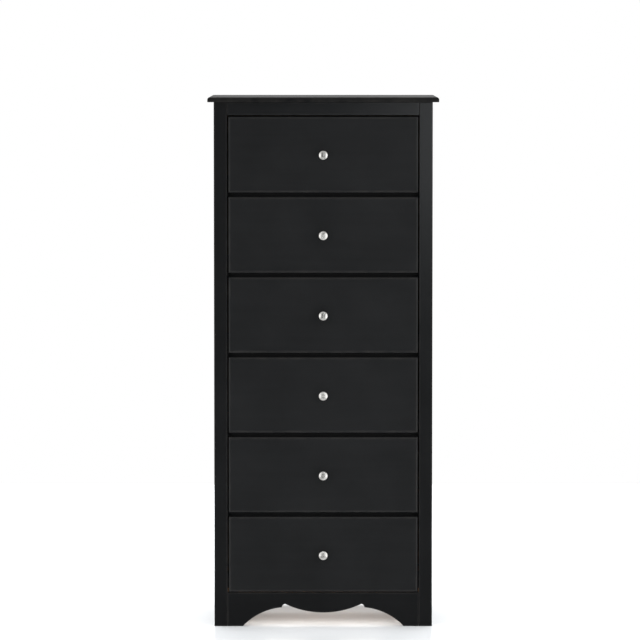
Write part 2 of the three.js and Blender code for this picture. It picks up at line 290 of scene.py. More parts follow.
class Shader:
    """Adds nodes to a new material, and links what is handed in as an input."""

    def __init__(self, name):
        self.material = bpy.data.materials.new(name)
        self.material.use_nodes = True
        self.tree = self.material.node_tree
        self.tree.nodes.clear()
        output = self.tree.nodes.new("ShaderNodeOutputMaterial")
        self.surface = self.add("ShaderNodeBsdfPrincipled")
        self.tree.links.new(self.surface.outputs[0], output.inputs["Surface"])

    def set(self, node, key, value):
        if isinstance(value, bpy.types.NodeSocket):
            self.tree.links.new(value, node.inputs[key])
        else:
            node.inputs[key].default_value = value

    def add(self, kind, inputs=None, **settings):
        node = self.tree.nodes.new(kind)
        for key, value in settings.items():
            setattr(node, key, value)
        for key, value in (inputs or {}).items():
            self.set(node, key, value)
        return node

    def finish(self, **inputs):
        for key, value in inputs.items():
            self.set(self.surface, key.replace("_", " "), value)
        return self.material

    def coordinates(self):
        return self.add("ShaderNodeTexCoord").outputs["Object"]

    def stretched(self, along, ratio):
        """Object coordinates that change slowly along one axis, for grain and brushing."""
        scale = [ratio if axis == along else 1.0 for axis in "xyz"]
        node = self.add("ShaderNodeMapping", {"Vector": self.coordinates(), "Scale": scale})
        return node.outputs["Vector"]

    def noise(self, vector, scale, detail=3.0, roughness=0.55, distortion=0.0):
        node = self.add("ShaderNodeTexNoise", {
            "Vector": vector, "Scale": scale, "Detail": detail,
            "Roughness": roughness, "Distortion": distortion})
        return node.outputs[0]

    def math(self, operation, first, second=0.0, clamp=False):
        node = self.add("ShaderNodeMath", {0: first, 1: second},
                        operation=operation, use_clamp=clamp)
        return node.outputs[0]

    def spread(self, value, low, high):
        """Takes a noise value, which stays near the middle, to low and high."""
        node = self.add("ShaderNodeMapRange", {
            "Value": value, "From Min": 0.3, "From Max": 0.7, "To Min": low, "To Max": high})
        return node.outputs[0]

    def ramp(self, value, *stops):
        node = self.add("ShaderNodeValToRGB", {"Fac": value})
        elements = node.color_ramp.elements
        while len(elements) < len(stops):
            elements.new(0.5)
        for element, (position, colour) in zip(elements, stops):
            element.position = position
            element.color = (*colour, 1)
        return node.outputs["Color"]

    def blend(self, factor, first, second, mode="MIX"):
        node = self.add("ShaderNodeMixRGB", {
            "Fac": factor, "Color1": as_colour(first), "Color2": as_colour(second)},
            blend_type=mode)
        return node.outputs["Color"]

    def bump(self, height, distance, strength=1.0, normal=None):
        node = self.add("ShaderNodeBump", {
            "Height": height, "Distance": distance, "Strength": strength})
        if normal is not None:
            self.set(node, "Normal", normal)
        return node.outputs["Normal"]

    def attribute(self, name):
        return self.add("ShaderNodeAttribute", attribute_name=name).outputs["Fac"]


def as_colour(value):
    return (*value, 1) if isinstance(value, tuple) else value


def black_paint(name, along, painted_light_tone, gloss):
    """Satin black lacquer, rolled on, with the wood's grain just telling through it.

    Its tone scales how light the paint is, and is set part by part as painted light and shade;
    `gloss` sets how much its surface reflects.
    """
    s = Shader(name)
    place = s.coordinates()
    grain = s.noise(s.stretched(along, 0.035), scale=420, detail=4, roughness=0.6)
    broad_grain = s.noise(s.stretched(along, 0.06), scale=60, detail=3, roughness=0.5, distortion=0.6)
    peel = s.noise(place, scale=620, detail=2, roughness=0.5)
    cloud = s.noise(place, scale=7, detail=3)
    smudge = s.noise(place, scale=38, detail=4, roughness=0.6, distortion=0.4)
    specks = s.noise(place, scale=1500, detail=1)

    mottle = s.math("ADD", s.math("MULTIPLY", cloud, 0.6), s.math("MULTIPLY", broad_grain, 0.4))
    thin = tuple(painted_light_tone * part for part in (0.0125, 0.0132, 0.0142))
    thick = tuple(painted_light_tone * part for part in (0.0088, 0.0094, 0.0102))
    paint = s.ramp(mottle, (0.35, thick), (0.65, thin))
    worn_place = s.math("MULTIPLY", s.attribute("wear"), s.spread(smudge, 0.0, 1.1),
                        clamp=True)
    rubbed = s.math("MULTIPLY", worn_place, 0.5)
    bare = (0.030, 0.028, 0.026)
    colour = s.blend(rubbed, paint, bare)

    uneven = s.math("ADD", s.spread(cloud, 0.36, 0.40), s.spread(smudge, -0.012, 0.015))
    roughness = s.math("ADD", uneven, s.spread(specks, -0.02, 0.02))

    pores = s.bump(grain, 0.05 * MM, strength=0.35)
    film = s.bump(peel, 0.05 * MM, strength=0.3, normal=pores)
    return s.finish(Base_Color=colour, Roughness=roughness, Specular_IOR_Level=gloss, Normal=film)


def dull_primer(name, along):
    """The thin matt black coat on the rails inside."""
    s = Shader(name)
    fibre = s.noise(s.stretched(along, 0.03), scale=700, detail=4, roughness=0.65)
    cloud = s.noise(s.coordinates(), scale=22, detail=3)
    mottle = s.math("ADD", s.math("MULTIPLY", fibre, 0.5), s.math("MULTIPLY", cloud, 0.5))
    dark, light = (0.0085, 0.0088, 0.0094), (0.013, 0.0134, 0.014)
    colour = s.ramp(mottle, (0.35, dark), (0.65, light))
    return s.finish(Base_Color=colour, Roughness=s.spread(fibre, 0.6, 0.75),
                    Specular_IOR_Level=0.15, Normal=s.bump(fibre, 0.1 * MM, strength=0.5))


def raw_wood(name, along):
    """Pale, unfinished boards: soft growth rings, fine fibres and a few darker flecks."""
    s = Shader(name)
    ring_field = s.noise(s.stretched(along, 0.08), scale=13, detail=2, roughness=0.45, distortion=0.5)
    ring_count = 11.0  # over the noise's whole range
    rings = s.math("FRACT", s.math("MULTIPLY", ring_field, ring_count))
    fibre = s.noise(s.stretched(along, 0.02), scale=900, detail=4, roughness=0.65)
    fleck = s.noise(s.stretched(along, 0.1), scale=240, detail=2)
    cloud = s.noise(s.coordinates(), scale=5, detail=2)

    early, middle, late = (0.60, 0.43, 0.26), (0.52, 0.35, 0.20), (0.42, 0.26, 0.135)
    pale_fibre, brown_fleck, grey_cloud = (0.68, 0.52, 0.34), (0.36, 0.22, 0.12), (0.55, 0.40, 0.27)
    growth = s.ramp(rings, (0.0, early), (0.72, middle), (0.97, late))
    fibrous = s.blend(s.spread(fibre, 0.0, 0.5), growth, pale_fibre)
    flecked = s.blend(s.spread(fleck, -0.5, 0.5), fibrous, brown_fleck)
    colour = s.blend(s.spread(cloud, 0.0, 0.25), flecked, grey_cloud)
    roughness = s.spread(fibre, 0.52, 0.72)
    grain = s.math("ADD", s.math("MULTIPLY", rings, 0.3), fibre)
    return s.finish(Base_Color=colour, Roughness=roughness, Specular_IOR_Level=0.35,
                    Normal=s.bump(grain, 0.12 * MM, strength=0.5))


def hardboard(name):
    """Pressed brown fibre, smooth on one face, with a wire screen's print on the other."""
    s = Shader(name)
    place = s.coordinates()
    fibre = s.noise(place, scale=520, detail=5, roughness=0.7, distortion=1.2)
    speck = s.noise(place, scale=1400, detail=2)
    cloud = s.noise(place, scale=4.5, detail=3)
    dark, light = (0.155, 0.083, 0.043), (0.30, 0.178, 0.098)
    cloudy, dark_speck = (0.25, 0.15, 0.088), (0.09, 0.045, 0.022)
    base = s.ramp(fibre, (0.3, dark), (0.7, light))
    mottled = s.blend(s.spread(cloud, 0.0, 0.45), base, cloudy)
    colour = s.blend(s.spread(speck, -0.7, 0.5), mottled, dark_speck)

    normal = s.add("ShaderNodeTexCoord").outputs["Normal"]
    parts = s.add("ShaderNodeSeparateXYZ", {"Vector": normal}).outputs
    facing = 0.5  # of a normal, along the axis that its face looks along
    rear = s.math("GREATER_THAN", parts["Y"], facing)
    under = s.math("LESS_THAN", parts["Z"], -facing)
    screened = s.math("ADD", rear, under, clamp=True)
    threads = [
        s.add("ShaderNodeTexWave", {"Vector": place, "Scale": 130, "Distortion": 0.4},
              bands_direction=axis).outputs["Fac"]
        for axis in "XZ"]
    weave = s.math("MULTIPLY", s.math("MULTIPLY", *threads), screened)
    height = s.math("ADD", weave, s.math("MULTIPLY", fibre, 0.4))
    return s.finish(Base_Color=colour, Roughness=s.spread(fibre, 0.5, 0.72),
                    Specular_IOR_Level=0.3, Normal=s.bump(height, 0.15 * MM, strength=0.5))


def coated_steel(name):
    """Rolled sheet under a thin black coat, with dull handling marks and lighter rubbed patches."""
    s = Shader(name)
    place = s.coordinates()
    rolled = s.noise(s.stretched("y", 0.03), scale=700, detail=3, roughness=0.6)
    skin = s.noise(place, scale=900, detail=2)
    cloud = s.noise(place, scale=28, detail=3)
    dark, light, rubbed = (0.011, 0.011, 0.012), (0.019, 0.019, 0.020), (0.10, 0.10, 0.10)
    coat = s.ramp(cloud, (0.35, dark), (0.65, light))
    scuffed = s.math("MULTIPLY", s.spread(rolled, -0.6, 0.5), s.spread(cloud, 0.0, 0.7),
                     clamp=True)
    colour = s.blend(scuffed, coat, rubbed)
    roughness = s.math("ADD", s.spread(cloud, 0.42, 0.55), s.spread(skin, -0.03, 0.05))
    return s.finish(Base_Color=colour, Roughness=roughness, Specular_IOR_Level=0.3,
                    Normal=s.bump(skin, 0.03 * MM, strength=0.4))


def screw_steel(name):
    """Small bright heads, with turning marks and a little tarnish."""
    s = Shader(name)
    place = s.coordinates()
    tarnish = s.noise(place, scale=240, detail=3)
    tarnished, bright = (0.34, 0.33, 0.31), (0.58, 0.57, 0.54)
    colour = s.ramp(tarnish, (0.35, tarnished), (0.65, bright))
    return s.finish(Base_Color=colour, Metallic=1.0, Roughness=s.spread(tarnish, 0.25, 0.45),
                    Normal=s.bump(s.noise(place, scale=2600, detail=2), 0.02 * MM, strength=0.4))


def nylon(name):
    """Black wheels with a fine moulded skin and grey scuffs."""
    s = Shader(name)
    place = s.coordinates()
    scuff = s.noise(place, scale=150, detail=4, roughness=0.6)
    clean, scuffed = (0.035, 0.036, 0.038), (0.07, 0.07, 0.072)
    colour = s.ramp(scuff, (0.4, clean), (0.75, scuffed))
    return s.finish(Base_Color=colour, Roughness=s.spread(scuff, 0.32, 0.5),
                    Normal=s.bump(s.noise(place, scale=1800, detail=2), 0.02 * MM, strength=0.3))


def brushed_nickel(name):
    """Satin nickel, brushed along the knob's own X axis, so highlights spread along its Z."""
    s = Shader(name)
    brushed = s.noise(s.stretched("x", 0.04), scale=3200, detail=3, roughness=0.6)
    uneven = s.noise(s.stretched("x", 0.35), scale=130, detail=2, roughness=0.5)
    line, ridge = (0.9, 0.885, 0.84), (0.99, 0.98, 0.95)
    colour = s.ramp(brushed, (0.3, line), (0.7, ridge))
    roughness = s.spread(brushed, 0.23, 0.33)
    across = s.add("ShaderNodeVectorTransform", {"Vector": (0, 0, 1)},
                   vector_type="VECTOR", convert_from="OBJECT", convert_to="WORLD")
    waves = s.bump(uneven, 0.6 * MM, strength=0.25)
    lines = s.bump(brushed, 0.01 * MM, strength=0.3, normal=waves)
    return s.finish(Base_Color=colour, Metallic=1.0, Roughness=roughness, Anisotropic=0.85,
                    Tangent=across.outputs[0], Normal=lines)


# One black paint in four tones, set part by part as painted light and shade: lightest on the fronts,
# darker on the frame, darkest on the top.
PAINT_X = black_paint("black_paint_along_x", "x", painted_light_tone=0.58, gloss=0.22)
PAINT_Z = black_paint("black_paint_along_z", "z", painted_light_tone=0.55, gloss=0.22)
TOP_PAINT_WITH_PAINTED_SHADE = black_paint("black_paint_with_painted_shade_on_top", "x", painted_light_tone=0.5, gloss=0.15)
FRONT_PAINT_WITH_PAINTED_LIGHT = black_paint("black_paint_with_painted_light_on_fronts", "x", painted_light_tone=0.81, gloss=0.33)
PRIMER = dull_primer("black_primer", "x")
WOOD_X = raw_wood("box_wood_along_x", "x")
WOOD_Y = raw_wood("box_wood_along_y", "y")
WOOD_Z = raw_wood("box_wood_along_z", "z")
HARDBOARD = hardboard("pressed_hardboard")
STEEL = coated_steel("coated_slide_steel")
SCREW = screw_steel("screw_steel")
NYLON = nylon("roller_nylon")
NICKEL = brushed_nickel("brushed_nickel")


# ---------------------------------------------------------------- the standing frame

def add_top_board():
    low, high = TOP
    u, v = (low.x, high.x), (low.y, high.y)
    back_share = 0.12  # of the roundovers, since the back edge is only eased
    shares = (1, 1, 1, back_share)
    corner = 1.6 * MM
    # The board is too thin for the last ring of either end, where the wear would fade out
    near = rounded_end(u, v, low.z, 1, TOP_LOWER_ROUND, corner, EASE_STEPS, shares)[:-1]
    far = rounded_end(u, v, high.z, -1, TOP_UPPER_ROUND, corner, ROUND_STEPS, shares)[:-1]
    add_piece("top_board", loft([*near, *reversed(far)], along_z), TOP_PAINT_WITH_PAINTED_SHADE, "carcass",
              ["top_panel"])


def add_sides():
    """Each side is a stile, with a thinner panel glued behind it."""
    for word, side in SIDES:
        low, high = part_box(f"{word}_side_panel")
        outer, inner = (high.x, low.x) if side > 0 else (low.x, high.x)
        panel_inner = outer - side * SIDE_THICKNESS
        seam = 0.15 * MM  # half of the fine line between the two
        stile = eased_board(
            (min(outer, inner), low.y, low.z),
            (max(outer, inner), STILE_BACK_Y - seam, high.z), "z")
        panel = eased_board(
            (min(outer, panel_inner), STILE_BACK_Y + seam, low.z),
            (max(outer, panel_inner), high.y, high.z), "z")
        node = f"{word}_side_panel"
        add_piece(f"{word}_stile", stile, PAINT_Z, "carcass", [node])
        add_piece(f"{word}_side_board", panel, PAINT_Z, "carcass", [node])


def add_rail():
    low, high = RAIL
    add_piece("top_rail", eased_board(low, high, "x"), PAINT_X, "carcass",
              ["top_front_rail"])


# The apron's lower edge, as the CAD draws it
FOOT_WIDTH = 69 * MM
ARCH_RISE = 46.5 * MM
ARCH_CREST_INSET = 14 * MM
COVE_RADIUS = 8 * MM
COVE_OFFSET = 92 * MM
DIP_HEIGHT = 33 * MM
ARCH_STEPS = 20
COVE_STEPS = 8
APRON_EASE = 0.9 * MM
BIG_FACE_FACING = 0.99  # the least of its normal along Y


def arc(centre, radius, start, stop, steps):
    """Points on an arc, without its first."""
    return [
        (centre[0] + radius * math.cos(start + (stop - start) * step / steps),
         centre[1] + radius * math.sin(start + (stop - start) * step / steps))
        for step in range(1, steps + 1)]


def apron_outline(low, high):
    """Half of it runs from the middle of the dip to a top corner, and the rest mirrors it."""
    foot_end = BODY_HALF - FOOT_WIDTH
    crest = COVE_OFFSET + COVE_RADIUS - ARCH_CREST_INSET
    run = foot_end - crest
    arch_radius = (run ** 2 + ARCH_RISE ** 2) / (2 * ARCH_RISE)
    arch_centre = (crest, ARCH_RISE - arch_radius)
    arch_start = math.acos(ARCH_CREST_INSET / arch_radius)
    arch_stop = math.atan2(-arch_centre[1], run)
    cove_z = arch_centre[1] + arch_radius * math.sin(arch_start)
    hang = cove_z + COVE_RADIUS - DIP_HEIGHT
    dip_radius = (COVE_OFFSET ** 2 + hang ** 2) / (2 * hang)
    dip_centre = (0, DIP_HEIGHT + dip_radius)
    dip_stop = -math.pi / 2 + math.asin(COVE_OFFSET / dip_radius)
    half = [
        *arc(dip_centre, dip_radius, -math.pi / 2, dip_stop, ARCH_STEPS),
        *arc((COVE_OFFSET, cove_z), COVE_RADIUS, math.pi / 2, 0, COVE_STEPS),
        *arc(arch_centre, arch_radius, arch_start, arch_stop, ARCH_STEPS),
        (high.x, low.z),
        (high.x, high.z),
    ]
    mirrored = [(-x, z) for x, z in reversed(half)]
    return [(0, DIP_HEIGHT), *half, *mirrored]


def add_apron():
    """The outline drawn out to the board's thickness, with eased and worn edges."""
    low, high = APRON
    bm = drawn_out(apron_outline(low, high), (low.y, high.y), APRON_EASE, EASE_STEPS)
    wear = bm.verts.layers.float.new("wear")
    for vert in bm.verts:
        vert[wear] = 1.0
    big_faces = [face for face in bm.faces
                 if abs(face.normal.y) > BIG_FACE_FACING and len(face.verts) > 4]
    bmesh.ops.inset_individual(bm, faces=big_faces, thickness=WEAR_WIDTH, use_even_offset=True)
    for face in big_faces:
        for vert in face.verts:
            vert[wear] = 0.0
    add_piece("scalloped_apron_board", bm, PAINT_X, "carcass",
              ["scalloped_apron"])


def add_glue_blocks():
    """Raw blocks that tie the feet of the apron to the side panels."""
    depth, width, gap = 20 * MM, 26 * MM, 0.3 * MM
    low_z, high_z, ease = 6 * MM, 58 * MM, 1.5 * MM
    inner_wall = BODY_HALF - SIDE_THICKNESS
    for word, side in SIDES:
        x = sorted((side * (inner_wall - gap), side * (inner_wall - gap - width)))
        block = eased_board((x[0], STILE_BACK_Y + gap, low_z),
                            (x[1], STILE_BACK_Y + gap + depth, high_z), "z", ease)
        add_piece(f"{word}_glue_block", block, WOOD_Z, "carcass")


BACK_NAIL_RADIUS = 2.2 * MM
BACK_NAIL_HEIGHT = 0.35 * MM  # of its head, over the sheet
BACK_NAIL_SPACING = 120 * MM
BACK_NAIL_MARGIN = 7 * MM  # from the sheet's edges
BACK_NAIL_LIFT = 20 * MM  # of the lowest row, into the rear rail
NAIL_DEPTH = 1 * MM  # of the part that is modelled below a nail's head


def nail_head(radius, height):
    """The end of a nail's profile: the head's rim and its top, with a small chamfer."""
    return [(radius, height * 0.5), (radius * 0.8, height), (0, height)]


def back_nail_places(low, high):
    """Points in X and Z: up both long edges, and along the rear rail and the top."""
    margin = BACK_NAIL_MARGIN
    rise, run = high.z - low.z - 2 * margin, high.x - low.x - 2 * margin
    rows = max(2, round(rise / BACK_NAIL_SPACING))
    columns = max(2, round(run / BACK_NAIL_SPACING))
    places = []
    for step in range(rows + 1):
        z = low.z + margin + rise * step / rows
        places += [(low.x + margin, z), (high.x - margin, z)]
    for step in range(1, columns):
        x = low.x + margin + run * step / columns
        places += [(x, low.z + BACK_NAIL_LIFT), (x, high.z - margin)]
    return places


def add_back():
    """A hardboard sheet held by a row of small nails along each edge."""
    low, high = BACK
    ease = 0.4 * MM
    sheet_back = high.y - BACK_NAIL_HEIGHT
    sheet = eased_board((low.x, low.y, low.z), (high.x, sheet_back, high.z), "z", ease)
    add_piece("back_sheet", sheet, HARDBOARD, "carcass", ["back_panel"])
    radius = BACK_NAIL_RADIUS
    profile = [(0, -NAIL_DEPTH), (radius * 0.4, -NAIL_DEPTH), (radius * 0.5, 0), (radius, 0),
               *nail_head(radius, BACK_NAIL_HEIGHT)]
    nails = [lathe(profile, Vector((x, sheet_back, z)), (0, 1, 0), BACK_NAIL_SEGMENTS)
             for x, z in back_nail_places(low, high)]
    add_piece("back_nails", nails, SCREW, "carcass")


RAIL_EASE = 0.6 * MM


def finish_cad_node(name, material, ease):
    """Gives a CAD node that stays its finish, eased edges and clean shading."""
    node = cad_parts[name]
    node.data.materials.clear()
    node.data.materials.append(material)
    weld = node.modifiers.new("weld", "WELD")
    weld.merge_threshold = WELD_DISTANCE
    bevel = node.modifiers.new("bevel", "BEVEL")
    bevel.width = ease
    bevel.segments = FINE_EASE_STEPS
    bevel.limit_method = "ANGLE"
    bevel.angle_limit = BEVEL_ANGLE
    weigh_normals(node)


def add_inner_frame():
    for number in range(1, DRAWERS):
        finish_cad_node(f"crossbar_{number}", PRIMER, RAIL_EASE)
    finish_cad_node("rear_bottom_rail", PRIMER, RAIL_EASE)


# ---------------------------------------------------------------- drawers

def front_y_place(u, v, w):
    """Rings of a front run from its back, at w = 0, out to its face."""
    return (u, FRONT_BACK_Y - w, v)


def add_front(number):
    """Rounded along its four front edges, and grooved behind for the bottom panel."""
    low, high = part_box(f"drawer_{number}_front")
    panel_low, panel_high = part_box(f"drawer_{number}_bottom")
    u, v = (low.x, high.x), (low.z, high.z)
    thickness = high.y - low.y
    corner, groove_corner, back_ease = 1.0 * MM, 0.4 * MM, 0.7 * MM
    groove_u = (panel_low.x - GROOVE_SLACK, panel_high.x + GROOVE_SLACK)
    groove_v = (panel_low.z - GROOVE_SLACK, panel_high.z + GROOVE_SLACK)
    rings = [
        unworn(ring(groove_u, groove_v, GROOVE_DEPTH, groove_corner)),
        unworn(ring(groove_u, groove_v, 0, groove_corner)),
    ]
    rings += rounded_end(u, v, 0, 1, back_ease, corner, EASE_STEPS)[1:]
    face = rounded_end(u, v, thickness, -1, FRONT_EDGE_ROUND, corner, ROUND_STEPS)
    rings += reversed(face)
    add_piece(f"drawer_{number}_face", loft(rings, front_y_place), FRONT_PAINT_WITH_PAINTED_LIGHT,
              f"drawer_{number}", [f"drawer_{number}_front"])


# The knob, turned as the CAD turns it
KNOB_BASE_RADIUS = 6.5 * MM
KNOB_BASE_EASE = 0.4 * MM
KNOB_BASE_HEIGHT = 1.5 * MM
KNOB_BASE_BEND = 1 * MM  # above the base, where its side would turn into the neck
KNOB_NECK_RADIUS = 4.5 * MM
KNOB_NECK_SPAN = (3.75 * MM, 8 * MM)
KNOB_HEAD_HEIGHT = 13 * MM
KNOB_RIM_LIFT = 1 * MM  # of the rim's start, above the head's flare
KNOB_RIM_TUCK = (1.2 * MM, 0.2 * MM)  # in and down from the rim's start, where the flare ends
KNOB_FACE_RADIUS = 9 * MM
KNOB_FACE_LIFT = 0.12 * MM  # of the face's edge, above the rim's stop
KNOB_CROWN = 1.6 * MM
FOOT_STEPS, HEAD_STEPS, RIM_STEPS = 6, 8, 5  # on each curve


def knob_profile(radius, projection):
    """From the middle of the base, up the neck and over the rolled rim, to the crowned face."""
    base, neck, ease = KNOB_BASE_RADIUS, KNOB_NECK_RADIUS, KNOB_BASE_EASE
    foot = (base, KNOB_BASE_HEIGHT)
    neck_start, neck_stop = [(neck, distance) for distance in KNOB_NECK_SPAN]
    rim_start, rim_stop = KNOB_HEAD_HEIGHT + KNOB_RIM_LIFT, projection - KNOB_CROWN
    under_rim = (radius - KNOB_RIM_TUCK[0], rim_start - KNOB_RIM_TUCK[1])
    rim_middle = (radius, (rim_start + rim_stop) / 2)
    face_edge = (KNOB_FACE_RADIUS, rim_stop + KNOB_FACE_LIFT)
    points = [(0, 0), (base - ease, 0), (base, ease), foot]
    points += quadratic(foot, (base, KNOB_BASE_HEIGHT + KNOB_BASE_BEND), neck_start, FOOT_STEPS)
    points += quadratic(neck_stop, (neck, KNOB_HEAD_HEIGHT), under_rim, HEAD_STEPS)
    points += quadratic(under_rim, (radius, rim_start), rim_middle, RIM_STEPS)
    points += quadratic(rim_middle, (radius, rim_stop), face_edge, HEAD_STEPS)
    points += quadratic(face_edge, (KNOB_FACE_RADIUS / 2, projection), (0, projection), HEAD_STEPS)
    return points


def quadratic(start, middle, stop, steps):
    """Points on a quadratic curve, without its first."""
    points = []
    for step in range(1, steps + 1):
        t = step / steps
        points.append(tuple(
            (1 - t) ** 2 * a + 2 * t * (1 - t) * b + t ** 2 * c
            for a, b, c in zip(start, middle, stop)))
    return points


def add_knob(number, turn):
    """The knob's object is turned about its own axis, so its brushing runs at its own angle."""
    low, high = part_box(f"drawer_{number}_knob")
    radius = (high.x - low.x) / 2
    centre = Vector(((low.x + high.x) / 2, FRONT_Y, (low.z + high.z) / 2))
    shape = lathe(knob_profile(radius, FRONT_Y - low.y), Vector((0, 0, 0)), (0, -1, 0),
                  KNOB_SEGMENTS)
    knob = add_piece(f"drawer_{number}_pull", shape, NICKEL, f"drawer_{number}",
                     [f"drawer_{number}_knob"])
    knob.matrix_world = Matrix.Translation(centre) @ Matrix.Rotation(turn, 4, "Y")
    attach(knob, f"drawer_{number}")
    add_knob_screw(number, Vector((centre.x, FRONT_BACK_Y, centre.z)))


WASHER_RADIUS, WASHER_THICKNESS = 5 * MM, 0.9 * MM
WASHER_CHAMFER = (0.3 * MM, 0.2 * MM)  # in, and down
HEAD_SINK = 0.1 * MM  # of the screw's head, into the washer
KNOB_SCREW_RADIUS, KNOB_SCREW_HEIGHT = 3.8 * MM, 2.2 * MM


def add_knob_screw(number, place):
    """The screw's head and its washer, behind the front."""
    radius, thickness = WASHER_RADIUS, WASHER_THICKNESS
    profile = [(0, 0), (radius, 0), (radius, thickness - WASHER_CHAMFER[1]),
               (radius - WASHER_CHAMFER[0], thickness), (0, thickness)]
    washer = lathe(profile, place, (0, 1, 0), WASHER_SEGMENTS)
    seat = place + Vector((0, thickness - HEAD_SINK, 0))
    head = pan_head(seat, (0, 1, 0), KNOB_SCREW_RADIUS, KNOB_SCREW_HEIGHT)
    add_piece(f"drawer_{number}_knob_screw", [washer, head], SCREW, f"drawer_{number}")


def pan_head(place, direction, radius, height):
    """A low domed screw head with a round driver recess."""
    recess, rim, recess_floor = radius * 0.38, height * 0.35, height * 0.3
    points = [(0, 0), (radius, 0), (radius, rim)]
    points += quadratic((radius, rim), (radius * 0.95, height), (recess, height), DOME_STEPS)
    points += [(recess * 0.8, rim), (0, recess_floor)]
    return lathe(points, place, direction, SCREW_SEGMENTS)


BOX_SIDE_EASE = 1.2 * MM
BOX_BACK_EASE = 1.0 * MM
BOX_BOTTOM_EASE = 0.3 * MM
BOX_NAIL_RADIUS, BOX_NAIL_HEIGHT = 1.6 * MM, 0.25 * MM
BOX_NAIL_SHARES = (0.3, 0.6, 0.9)  # of the back's height


def add_box(number):
    """The box keeps the CAD's boards, with eased edges, and gets its nails."""
    body = f"drawer_{number}"
    for word, _ in SIDES:
        finish_cad_node(f"{body}_{word}_side", WOOD_Y, BOX_SIDE_EASE)
    finish_cad_node(f"{body}_back", WOOD_X, BOX_BACK_EASE)
    finish_cad_node(f"{body}_bottom", HARDBOARD, BOX_BOTTOM_EASE)
    add_box_nails(number)


def add_box_nails(number):
    """Three nails through each side into the back's end."""
    profile = [(0, -NAIL_DEPTH), (BOX_NAIL_RADIUS, -NAIL_DEPTH),
               *nail_head(BOX_NAIL_RADIUS, BOX_NAIL_HEIGHT)]
    back_low, back_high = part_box(f"drawer_{number}_back")
    back_y = (back_low.y + back_high.y) / 2
    nails = []
    for word, side in SIDES:
        outer = side_face(number, word, side)
        for share in BOX_NAIL_SHARES:
            z = back_low.z + (back_high.z - back_low.z) * share
            place = Vector((outer, back_y, z))
            nails.append(lathe(profile, place, (side, 0, 0), BOX_NAIL_SEGMENTS))
    add_piece(f"drawer_{number}_nails", nails, SCREW, f"drawer_{number}")


def side_face(number, word, side):
    """Where the outer face of a drawer's side is, in X."""
    low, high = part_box(f"drawer_{number}_{word}_side")
    return high.x if side > 0 else low.x


# Slide hardware that the CAD leaves out
MEMBER_WALL = 1.2 * MM
MEMBER_GAP = 0.2 * MM  # off the drawer's side
MEMBER_TOP = 22.2 * MM  # above the bottom of the box
MEMBER_REACH = 9.8 * MM  # of the running flange, from the drawer's side
MEMBER_LIP = 9 * MM  # of the flange under the box, inwards from the drawer's side
MEMBER_SLACK = 0.1 * MM  # under the box
MEMBER_END_GAP = 1 * MM  # off both ends of the drawer's side
MEMBER_EASE = 0.3 * MM
ROLLER_RADIUS = 7.5 * MM
FRONT_ROLLER_RADIUS = 7.8 * MM
ROLLER_LOW_X, ROLLER_HIGH_X = 4.4 * MM, 10.6 * MM  # from the drawer's side
ROLLER_INSET = 12 * MM  # of a wheel's middle, from the slide's end
ROLLER_DROP = 0.4 * MM  # of the drawer's wheels, below the box
ROLLER_SLACK = 0.15 * MM  # of the cabinet's wheels, under the running flange
ROLLER_HEAD_GAP = 0.4 * MM  # from a cabinet wheel to the end of its axle
RUNNER_SCREW_RISE = 11 * MM
RUNNER_SCREW_SHARES = (0.12, 0.45, 0.8)  # of the runner's length
RUNNER_SCREW_HEIGHT = 1.4 * MM
CHANNEL_EASE = 0.35 * MM
CHANNEL_WALL = 1.5 * MM
BRACKET_THICKNESS = 2 * MM
BRACKET_SCREW_INSET = 40 * MM  # from the channel's ends
BRACKET_SCREW_RISE = 6.5 * MM  # above and below the channel's middle
BRACKET_SCREW_HEIGHT = 1.6 * MM
SLIDE_SCREW_RADIUS = 3.2 * MM


def roller(centre_x, y, z, side, radius):
    """A nylon wheel with rounded tyres and a sunk hub, across X."""
    half = (ROLLER_HIGH_X - ROLLER_LOW_X) / 2
    hub, edge, sink = radius * 0.45, 0.7 * MM, 0.6 * MM
    points = [(0, -half + sink), (hub, -half + sink), (hub + sink, -half), (radius - edge, -half),
              (radius, -half + edge), (radius, half - edge), (radius - edge, half),
              (hub + sink, half), (hub, half - sink), (0, half - sink)]
    return lathe(points, Vector((centre_x, y, z)), (side, 0, 0), WHEEL_SEGMENTS)


def axle(inner_x, outer_x, y, z, side):
    """A rivet through a wheel, with a low head at the wheel's free end."""
    length = abs(outer_x - inner_x)
    shaft, head, height = 2.0 * MM, 3.4 * MM, 0.5 * MM
    points = [(0, 0), (shaft, 0), (shaft, length - height), (head, length - height),
              (head * 0.8, length), (0, length)]
    return lathe(points, Vector((inner_x, y, z)), (side, 0, 0), AXLE_SEGMENTS)


def add_drawer_members(number):
    for word, side in SIDES:
        add_runner(number, word, side)
        add_runner_wheel(number, word, side)


